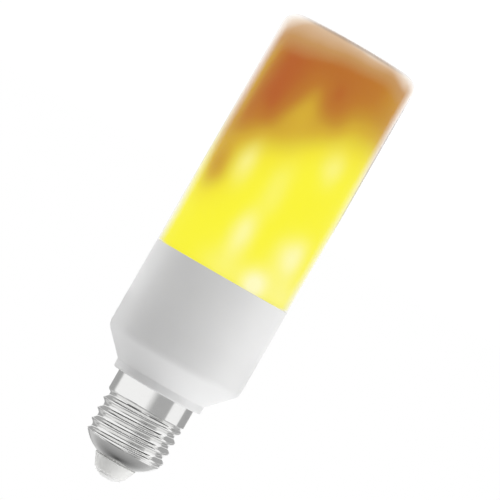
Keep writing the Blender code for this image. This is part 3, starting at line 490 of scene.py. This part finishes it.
# Warmer and cooler tongues
TONGUES = [
    (0.42, -56, 54.5, 19, 7.5),
    (0.22, -80, 46, 14, 9),
    (0.14, -34, 29, 9, 5),
    (-0.30, -8, 22.5, 12, 7),
    (-0.11, -15, 28.5, 12, 5),
    (0.11, 10, 18.5, 9, 5),
    (0.11, 20, 24.5, 10, 6),
    (0.30, 128, 46, 12, 12),
    (-0.30, 168, 24, 13, 9),
    (0.25, 215, 42, 14, 10),
    (-0.28, 262, 22, 14, 8),
]
# Pale spots where the diodes show: (strength, degrees, height, half angle, half height)
MOST_SPOT = 1.2
SPOTS = [
    (0.38, -30.5, 48.3, 8.5, 5.4),
    (0.32, 36.5, 36.5, 11, 5.2),
    (0.18, 3.5, 51, 9, 7.5),
    (0.60, -3.4, 67, 8.5, 6.8),
    (0.78, 46, 66, 15, 5.6),
    (0.38, 56, 78, 32, 7),
    (1.00, 26.5, 79.5, 10.5, 4.8),
    (0.20, -4, 79, 20, 6),
    (0.50, 105, 58, 11, 6.5),
    (0.65, 140, 66, 9, 6.5),
    (0.40, 172, 46, 8, 6.5),
    (0.80, 200, 72, 11, 6.0),
    (0.50, 240, 55, 9, 6.5),
    (0.45, 275, 70, 10, 6.0),
]
# The head's own fainter light: the height where tan and then peach start to take over
HEAD_START = 7.6
TAN_GAIN = 2.2
PEACH_GAIN = 2.0
PEACH_DELAY = 0.95
# The lobe at -80 degrees is painted sheen: it carries the paler head colours higher up the left
# edge, where the view grazes the cover
HEAD_SLOPE = [
    (6.0, -48, 0, 34, None),
    (12.0, -80, 0, 14, None),
    (2.5, 66, 0, 18, None),
    (3.0, 150, 0, 40, None),
]

# Painted sheen: the head's rim is painted paler toward its sides, where the view grazes its rounded
# corner
RIM_SHEEN_START = 1.2
RIM_SHEEN_FALL = 1.4
RIM_SHEEN_SLOPE = [
    (8.0, -84, 0, 29, None),
    (4.5, 72, 0, 34, None),
    (3.0, 180, 0, 40, None),
]


def lit_diffuser():
    """The flame, as colour and glow of the diffusing sleeve, with painted sheen and shade at the
    head.
    """
    material, tree, shader = new_material("lit_diffuser")
    flame = Flame(tree)
    boundary = flame.total(YELLOW_END, BOUNDARY)
    burn = calc(tree, "DIVIDE", calc(tree, "SUBTRACT", boundary, flame.height), BURN_LENGTH)
    burn = calc(tree, "SMOOTH_MIN", burn, flame.total(MOST_BURNT, BURNT_SHARE), MOST_BURNT_SOFTNESS)
    burn = calc(tree, "SMOOTH_MAX", burn, 0.0, LEAST_BURNT_SOFTNESS)
    colour = ramp(tree, flame.total(burn, TONGUES), FLAME_STOPS)
    spots = calc(tree, "MINIMUM", flame.total(0.0, SPOTS), MOST_SPOT)
    colour = blend_colour(tree, spots, colour, PALE_SPOT)
    head = flame.below(flame.total(HEAD_START, HEAD_SLOPE))
    tan = calc(tree, "MULTIPLY", head, TAN_GAIN, clamp=True)
    colour = blend_colour(tree, tan, colour, TAN)
    peach = calc(tree, "MULTIPLY_ADD", head, PEACH_GAIN, -PEACH_DELAY, clamp=True)
    colour = blend_colour(tree, peach, colour, PEACH)
    # Painted sheen: the head's rim turns paler toward the sides
    rim = flame.below(flame.total(RIM_SHEEN_START, RIM_SHEEN_SLOPE))
    colour = blend_colour(tree, calc(tree, "POWER", rim, RIM_SHEEN_FALL), colour, RIM_SHEEN_TINT)
    # Painted shade: the sleeve's lowest edge is darkened into a line along the head
    under = calc(tree, "SUBTRACT", HEAD_EDGE_SHADE_TOP, height_of(tree, object_place(tree)))
    under = calc(tree, "DIVIDE", under, HEAD_EDGE_SHADE_TOP - HEAD_WALL, clamp=True)
    colour = blend_colour(tree, calc(tree, "MULTIPLY", under, HEAD_EDGE_SHADE_SHARE), colour, HEAD_EDGE_SHADE)
    unlit = blend_colour(tree, UNLIT_SHARE, BLACK, colour)
    tree.links.new(unlit, shader.inputs["Base Color"])
    tree.links.new(colour, shader.inputs["Emission Color"])
    shader.inputs["Emission Strength"].default_value = FLAME_GLOW
    shader.inputs["Specular IOR Level"].default_value = 0.0
    shader.inputs["Roughness"].default_value = SLEEVE_ROUGHNESS
    return material


# Fine turned surfaces


def filleted(corners):
    """Outline through corners (radius, height) or (radius, height, fillet radius)."""
    outline = []
    count = len(corners)
    for index, (radius, height, *rounding) in enumerate(corners):
        corner = Vector((radius, height))
        if not rounding:
            outline.append(corner)
            continue
        back = (Vector(corners[index - 1][:2]) - corner).normalized()
        ahead = (Vector(corners[(index + 1) % count][:2]) - corner).normalized()
        half = back.angle(ahead) / 2
        reach = rounding[0] / math.tan(half)
        centre = corner + (back + ahead).normalized() * rounding[0] / math.sin(half)
        first = (corner + back * reach - centre).normalized()
        last = (corner + ahead * reach - centre).normalized()
        steps = max(FEWEST_STEPS, math.ceil((math.pi - 2 * half) / FINE_ARC))
        arc = [first.slerp(last, step / steps) for step in range(steps + 1)]
        outline += [centre + direction * rounding[0] for direction in arc]
    return outline


def mesh_of(name, shape):
    """Mesh of a shape under construction, which ends with it."""
    mesh = bpy.data.meshes.new(name)
    shape.to_mesh(mesh)
    shape.free()
    return mesh


def dressed(name, shape, finish, node):
    """Finish a piece made in place of a CAD node."""
    mesh = mesh_of(name, shape)
    mesh.shade_smooth()
    mesh.set_sharp_from_angle(angle=SHARP_ANGLE)
    mesh.materials.append(finish)
    piece = add_object(name, mesh)
    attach(piece, "root")
    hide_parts(node)
    return piece


def spun(outline, closed):
    """Turn an outline about the axis, as a shape under construction."""
    shape = bmesh.new()
    points = [shape.verts.new((point.x, 0, point.y)) for point in outline]
    edges = [shape.edges.new(pair) for pair in zip(points, points[1:])]
    if closed:
        edges.append(shape.edges.new((points[-1], points[0])))
    bmesh.ops.spin(
        shape,
        geom=points + edges,
        axis=(0, 0, 1),
        cent=(0, 0, 0),
        angle=TURN,
        steps=SIDES,
        use_merge=True,
    )
    bmesh.ops.remove_doubles(shape, verts=shape.verts, dist=MERGE_DISTANCE)
    bmesh.ops.recalc_face_normals(shape, faces=shape.faces)
    return shape


def turned_piece(name, corners, finish, node):
    """Piece turned from its corners; an outline that ends on the axis is left open there."""
    outline = filleted(corners)
    closed = min(point.x for point in outline) > 0
    dressed(name, spun(outline, closed), finish, node)


def make_cover(finish):
    """Clear cup with a flat head, and the tongue that laps into the housing."""
    bore = body_radius - COVER_WALL
    corners = [
        (0, HEAD_WALL),
        (bore, HEAD_WALL, HEAD_ROUNDING - COVER_WALL),
        (bore, lap_end),
        (bore + TONGUE_WALL, lap_end),
        (bore + TONGUE_WALL, seam),
        (body_radius - CLEARANCE / 2, seam),
        (body_radius, seam - CLEARANCE / 2),
        (body_radius, 0, HEAD_ROUNDING),
        (0, 0),
    ]
    turned_piece("clear_cover_wall", corners, finish, "diffuser_cover")


def make_sleeve(finish):
    """Diffusing sleeve, seated against the cover so that the flame fills the clear wall."""
    rounding = HEAD_ROUNDING - COVER_WALL
    outer = body_radius - COVER_WALL + SEATING
    bottom = HEAD_WALL - SEATING
    bore = sleeve_high.x - SLEEVE_WALL
    floor = sleeve_low.z + SLEEVE_WALL
    corners = [
        (0, floor),
        (bore, floor, rounding - SLEEVE_WALL),
        (bore, sleeve_high.z),
        (outer, sleeve_high.z),
        (outer, bottom, rounding),
        (0, bottom),
    ]
    turned_piece("flame_sleeve", corners, finish, "diffuser_sleeve")


def make_housing(finish):
    """Housing with its lap rim, rounded taper, lip and stepped neck."""
    bore = body_radius - HOUSING_WALL
    lap_bore = body_radius - COVER_WALL + TONGUE_WALL + CLEARANCE
    taper_start = housing_low.z + HOUSING_STRAIGHT
    lip_start = taper_start + TAPER_LENGTH
    lip_end = shell_low.z - SEATING
    band_end = shell_low.z + PLAIN_BAND - CLEARANCE
    band_radius = thread_radius - SHELL_WALL - CLEARANCE
    neck_radius = band_radius - THREAD_DEPTH
    slope = (body_radius - LIP_RADIUS) / TAPER_LENGTH
    inner_start = taper_start - (math.hypot(1, slope) - 1) * HOUSING_WALL / slope
    corners = [
        (NECK_BORE, housing_high.z),
        (neck_radius, housing_high.z, LIP_ROUNDING),
        (neck_radius, band_end + THREAD_DEPTH),
        (band_radius, band_end),
        (band_radius, lip_end),
        (LIP_RADIUS, lip_end, LIP_ROUNDING),
        (LIP_RADIUS, lip_start, LIP_ROUNDING),
        (body_radius, taper_start, SHOULDER_ROUNDING),
        (body_radius, housing_low.z, CLEARANCE / 2),
        (lap_bore, housing_low.z),
        (lap_bore, lap_end + CLEARANCE),
        (bore, lap_end + CLEARANCE),
        (bore, inner_start, INNER_ROUNDING),
        (NECK_BORE, inner_start + (bore - NECK_BORE) / slope),
    ]
    turned_piece("moulded_housing", corners, finish, "housing")


def thread_depth_at(height, angle):
    """How deep the rolled thread is pressed in, fading at both ends."""
    into = min(height - PLAIN_BAND, PLAIN_BAND + THREAD_TURNS * THREAD_PITCH - height)
    if into <= 0:
        return 0.0
    fade = min(1.0, into / THREAD_RUN_OUT)
    crest = 0.5 + 0.5 * math.cos(TURN * (height - PLAIN_BAND) / THREAD_PITCH - angle)
    return THREAD_DEPTH * fade * (1 - crest**CREST_SHARPNESS)


def closing_corners(length):
    """The shell's closing part, domed out from its chord."""
    closing_radius = thread_radius - THREAD_DEPTH / 2
    drop = closing_radius - SHELL_MOUTH_RADIUS
    chord = math.hypot(drop, SHELL_CLOSING)
    start = length - SHELL_CLOSING
    middle = (closing_radius + SHELL_MOUTH_RADIUS) / 2
    dome_radius = middle + SHELL_DOME_BULGE * SHELL_CLOSING / chord
    dome_height = start + SHELL_CLOSING / 2 + SHELL_DOME_BULGE * drop / chord
    mouth = Vector((SHELL_MOUTH_RADIUS, length))
    rim = mouth + (Vector((dome_radius, dome_height)) - mouth).normalized() * RIM_ROW
    return [
        tuple(mouth),
        tuple(rim),
        (dome_radius, dome_height, SHELL_DOME_ROUNDING),
        (closing_radius, start, SHELL_CLOSING_ROUNDING),
        (thread_radius, start - THREAD_RUN_OUT),
    ]


def make_shell(finish):
    """Sheet shell with the rolled thread in fine rows."""
    length = PLAIN_BAND + THREAD_TURNS * THREAD_PITCH + SHELL_CLOSING
    rings = filleted(closing_corners(length))[:-1]
    step = THREAD_PITCH / THREAD_ROWS_PER_TURN
    height = length - SHELL_CLOSING
    while height > step / 2:
        if height < rings[-1].y - step / 2:
            rings.append(Vector((thread_radius, height)))
        height -= step
    rings += [Vector((thread_radius, RIM_ROW)), Vector((thread_radius, 0))]
    shape = spun(rings, closed=False)
    for point in shape.verts:
        radius = math.hypot(point.co.x, point.co.y)
        depth = thread_depth_at(point.co.z, math.atan2(point.co.y, point.co.x))
        point.co.x *= 1 - depth / radius
        point.co.y *= 1 - depth / radius
        point.co.z += shell_low.z
    shell = dressed("nickel_screw_shell", shape, finish, "screw_shell")
    sheet = shell.modifiers.new("sheet", "SOLIDIFY")
    sheet.thickness = SHELL_WALL
    sheet.offset = -1
    sheet.use_even_offset = True


def make_insulator(finish):
    """Cone with a flange inside the shell's mouth and a bore for the contact's stem."""
    closing_slope = (thread_radius - THREAD_DEPTH / 2 - SHELL_MOUTH_RADIUS) / SHELL_CLOSING
    waist = SHELL_MOUTH_RADIUS - SHELL_WALL - CLEARANCE
    offset = (SHELL_WALL + CLEARANCE) * math.hypot(1, closing_slope)
    waist_height = shell_high.z - (waist + offset - SHELL_MOUTH_RADIUS) / closing_slope
    outer_start = shell_high.z + CLEARANCE
    corners = [
        (INSULATOR_BORE, insulator_high.z),
        (INSULATOR_END_RADIUS, insulator_high.z, INSULATOR_ROUNDING),
        (SHELL_MOUTH_RADIUS - CLEARANCE, outer_start, CLEARANCE / 2),
        (waist, outer_start),
        (waist, waist_height),
        (insulator_high.x, insulator_low.z + INSULATOR_FLANGE),
        (insulator_high.x, insulator_low.z),
        (INSULATOR_BORE, insulator_low.z),
    ]
    turned_piece("pale_insulator_cone", corners, finish, "cap_insulator")


def make_contact(finish):
    """Domed button with a stem, which is hollow for the live lead."""
    face = contact_high.z
    seat = insulator_high.z - SEATING
    edge = face - CONTACT_THICKNESS + CONTACT_EDGE
    stem = INSULATOR_BORE - CLEARANCE
    corners = [
        (0, face),
        (CONTACT_FACE_RADIUS, face, CONTACT_ROUNDING),
        (contact_high.x, edge, CONTACT_EDGE / 2),
        (contact_high.x, seat),
        (stem, seat),
        (stem, contact_low.z),
        (LEAD_HOLE, contact_low.z),
        (LEAD_HOLE, contact_low.z + CONTACT_HOLE_DEPTH),
        (0, contact_low.z + CONTACT_HOLE_DEPTH),
    ]
    turned_piece("contact_button", corners, finish, "centre_contact")


# Finishes of the inner nodes, which stay as CAD made them: kind, colour and roughness

INNER_FINISHES = {
    "white_plastic": (moulded_plastic, "e6e6e1", 0.45),
    "led_board": (moulded_plastic, "e9e4c4", 0.4),
    "circuit_board": (moulded_plastic, "2f6f3a", 0.4),
    "black_component": (moulded_plastic, "2b2b2b", 0.5),
    "aluminium_can": (drawn_metal, "c6c8cb", 0.3),
    "film_capacitor_coat": (moulded_plastic, "a63a22", 0.25),
    "ferrite_choke": (moulded_plastic, "383839", 0.6),
    "resistor_coat": (moulded_plastic, "5e7f7a", 0.45),
    "screw_steel": (drawn_metal, "b4b5b8", 0.28),
    "tinned_wire": (drawn_metal, "d0d0d0", 0.3),
    "red_wire": (moulded_plastic, "a4281f", 0.45),
    "black_wire": (moulded_plastic, "262626", 0.45),
}


def dress_inner_nodes():
    made = {}
    for slot, (make, code, roughness) in INNER_FINISHES.items():
        made[slot] = make(slot, rgba(code), roughness)
    for part in frame["record"]["subparts"]:
        if part["material_slot"] in made:
            node = frame["nodes"][part["node"]]
            node.data.materials.clear()
            node.data.materials.append(made[part["material_slot"]])


# Studio: white ground and surround, soft lamps, and cards that only the gloss reflects

AMBIENT = 0.43
GROUND_GLOW = 0.85
GROUND_STRENGTH = 1.12
GROUND_SIZE = 12.0
GROUND_COLOUR = rgba("f2f2f2")
GROUND_ROUGHNESS = 0.9
CARD_RADIUS = 0.9
CARD_GREY = 0.40
CARD_STEPS = 16
LEVEL_CARD_STEPS = 24
# The main cards hang higher than the cover, whose gloss would mirror their grey
CARD_LOW = 0.1
CARD_HEIGHT = 0.5
# Bearings of the low cards that draw the thin grey line at the cover's right edge
EDGE_BEARINGS = (156, 178)
# Curved cards: name, first and last bearing, low and high edge, fade in degrees, grey
CARDS = [
    ("card_front_right", -6, 60, CARD_LOW, CARD_HEIGHT, 20, CARD_GREY),
    ("card_back_right", 108, 158, CARD_LOW, CARD_HEIGHT, 0, CARD_GREY),
    ("card_edge_right", *EDGE_BEARINGS, 0.0, 0.035, 0, CARD_GREY),
    ("card_back_left", 250, 190, CARD_LOW, CARD_HEIGHT, 10, CARD_GREY),
    ("card_high_back", 100, 260, CARD_HEIGHT, 0.7, 0, 0.6),
    ("card_high_front", 90, -95, 0.6, 1.3, 45, 0.1),
]
# Level cards: name, first and last bearing, near and far edge, height, grey
LEVEL_CARDS = [
    ("card_floor_right", *EDGE_BEARINGS, 0.05, CARD_RADIUS, 0.3 * MM, CARD_GREY),
    ("card_shelf_back", 100, 260, 0.03, 0.25, CARD_LOW, 0.42),
    ("card_shelf_front", -100, 85, 0.03, 0.1, CARD_LOW, 0.1),
]
# The dark disc above the cap, and how its grey grows from the middle to the edge
CEILING_HEIGHT = 1.3
CEILING_RADIUS = 1.5
CEILING_SET_BACK = 0.55
CEILING_SEGMENTS = 48
CEILING_MIDDLE_GREY = 0.02
CEILING_EDGE_GREY = 0.66
CEILING_FALL = 0.7
# Lamps: name, bearing, height, distance, size, power
LAMPS = [
    ("right_lamp", 80, 0.35, 1.2, 0.9, 7.0),
    ("left_back_lamp", -125, 0.35, 1.2, 0.7, 7.0),
    ("top_lamp", 100, 1.5, 0.3, 0.8, 14.0),
]


def seen_white(tree):
    """1 for the rays that see the white surround: camera, glossy and transmission rays."""
    path = tree.nodes.new("ShaderNodeLightPath").outputs
    glossy = calc(tree, "MAXIMUM", path["Is Glossy Ray"], path["Is Transmission Ray"])
    return calc(tree, "MAXIMUM", path["Is Camera Ray"], glossy)


def make_world():
    world = bpy.data.worlds.new("studio_surround")
    bpy.context.scene.world = world
    world.use_nodes = True
    tree = world.node_tree
    background = tree.nodes["Background"]
    background.inputs["Color"].default_value = (1, 1, 1, 1)
    feed(tree, background.inputs["Strength"], vary(tree, seen_white(tree), AMBIENT, 1.0))


def make_ground():
    """White ground that glows for the rays that see it, so that it merges with the surround."""
    shape = bmesh.new()
    bmesh.ops.create_grid(shape, x_segments=1, y_segments=1, size=GROUND_SIZE / 2)
    mesh = mesh_of("ground", shape)
    material, tree, shader = new_material("ground")
    shader.inputs["Base Color"].default_value = GROUND_COLOUR
    shader.inputs["Roughness"].default_value = GROUND_ROUGHNESS
    glow = tree.nodes.new("ShaderNodeEmission")
    glow.inputs["Strength"].default_value = GROUND_STRENGTH
    mix = tree.nodes.new("ShaderNodeMixShader")
    feed(tree, mix.inputs["Fac"], calc(tree, "MULTIPLY", seen_white(tree), GROUND_GLOW))
    tree.links.new(shader.outputs["BSDF"], mix.inputs[1])
    tree.links.new(glow.outputs["Emission"], mix.inputs[2])
    tree.links.new(mix.outputs["Shader"], tree.nodes["Material Output"].inputs["Surface"])
    mesh.materials.append(material)
    ground = add_object("ground", mesh)


def arc_mesh(name, start, end, steps, rims):
    """Strip from one bearing to another, between two rims of (radius, height)."""
    shape = bmesh.new()
    rows = []
    for step in range(steps + 1):
        side = Vector(side_vector(start + (end - start) * step / steps))
        points = [side * radius + Vector((0, 0, height)) for radius, height in rims]
        rows.append([shape.verts.new(point) for point in points])
    for left, right in zip(rows, rows[1:]):
        shape.faces.new((left[0], right[0], right[1], left[1]))
    return mesh_of(name, shape)


def make_card(name, start, end, low, high, fade, grey):
    """Curved grey card from one bearing to another, which fades in from white at its start."""
    mesh = arc_mesh(name, start, end, CARD_STEPS, [(CARD_RADIUS, low), (CARD_RADIUS, high)])
    quarter_on = side_vector(start + math.copysign(QUARTER_TURN, end - start))

    def shade(tree):
        across = vector_calc(tree, "DOT_PRODUCT", object_place(tree), quarter_on)
        reach = CARD_RADIUS * math.sin(math.radians(fade))
        return vary(tree, calc(tree, "DIVIDE", across, reach, clamp=True), 1.0, grey)

    place_card(name, mesh, shade if fade else lambda tree: grey)


def make_level_card(name, start, end, near, far, height, grey):
    """Level card, grey from above and white from below where its bearings grow."""
    mesh = arc_mesh(name, start, end, LEVEL_CARD_STEPS, [(near, 0), (far, 0)])

    def shade(tree):
        from_below = tree.nodes.new("ShaderNodeNewGeometry").outputs["Backfacing"]
        return vary(tree, from_below, grey, 1.0)

    place_card(name, mesh, shade).location.z = height


def make_ceiling():
    """Dark disc above the cap, paler toward its edge."""
    shape = bmesh.new()
    bmesh.ops.create_circle(
        shape, cap_ends=True, segments=CEILING_SEGMENTS, radius=CEILING_RADIUS
    )

    def shade(tree):
        reach = vector_calc(tree, "LENGTH", object_place(tree))
        share = calc(tree, "DIVIDE", reach, CEILING_RADIUS, clamp=True)
        grown = calc(tree, "POWER", share, CEILING_FALL)
        return vary(tree, grown, CEILING_MIDDLE_GREY, CEILING_EDGE_GREY)

    card = place_card("card_above", mesh_of("card_above", shape), shade)
    card.location = (0, CEILING_SET_BACK, CEILING_HEIGHT)


def place_card(name, mesh, shade):
    """Card that glows by its shade and shows in gloss alone."""
    material, tree, _ = new_material(name)
    glow = tree.nodes.new("ShaderNodeEmission")
    feed(tree, glow.inputs["Strength"], shade(tree))
    tree.links.new(glow.outputs["Emission"], tree.nodes["Material Output"].inputs["Surface"])
    mesh.materials.append(material)
    card = add_object(name, mesh)
    card.visible_camera = False
    card.visible_diffuse = False
    card.visible_transmission = False
    card.visible_shadow = False
    return card


def make_lamp(name, bearing, height, distance, size, power):
    """Soft square lamp at a bearing counted as the flame's angles, aimed at the bulb."""
    data = bpy.data.lights.new(name, "AREA")
    data.shape = "SQUARE"
    data.size = size
    data.energy = power
    lamp = add_object(name, data)
    lamp.location = Vector(side_vector(bearing)) * distance + Vector((0, 0, height))
    aim = TARGET - lamp.location
    lamp.rotation_mode = "QUATERNION"
    lamp.rotation_quaternion = aim.to_track_quat("-Z", "Y")
    lamp.visible_camera = False
    lamp.visible_glossy = False
    lamp.visible_transmission = False


def make_studio():
    make_world()
    make_ground()
    for card in CARDS:
        make_card(*card)
    make_ceiling()
    for card in LEVEL_CARDS:
        make_level_card(*card)
    for lamp in LAMPS:
        make_lamp(*lamp)


make_camera()
make_studio()
make_cover(clear_plastic())
make_sleeve(lit_diffuser())
make_housing(moulded_plastic("white_housing", rgba("dcdcdc"), roughness=0.38))
make_shell(drawn_metal("nickel_shell", rgba("f2f2f1"), roughness=0.12))
make_insulator(moulded_plastic("pale_insulator", rgba("dcdcda"), roughness=0.35))
make_contact(drawn_metal("contact_metal", rgba("eaeae9"), roughness=0.5, metallic=0.2))
dress_inner_nodes()

bpy.context.scene.view_settings.view_transform = "Standard"
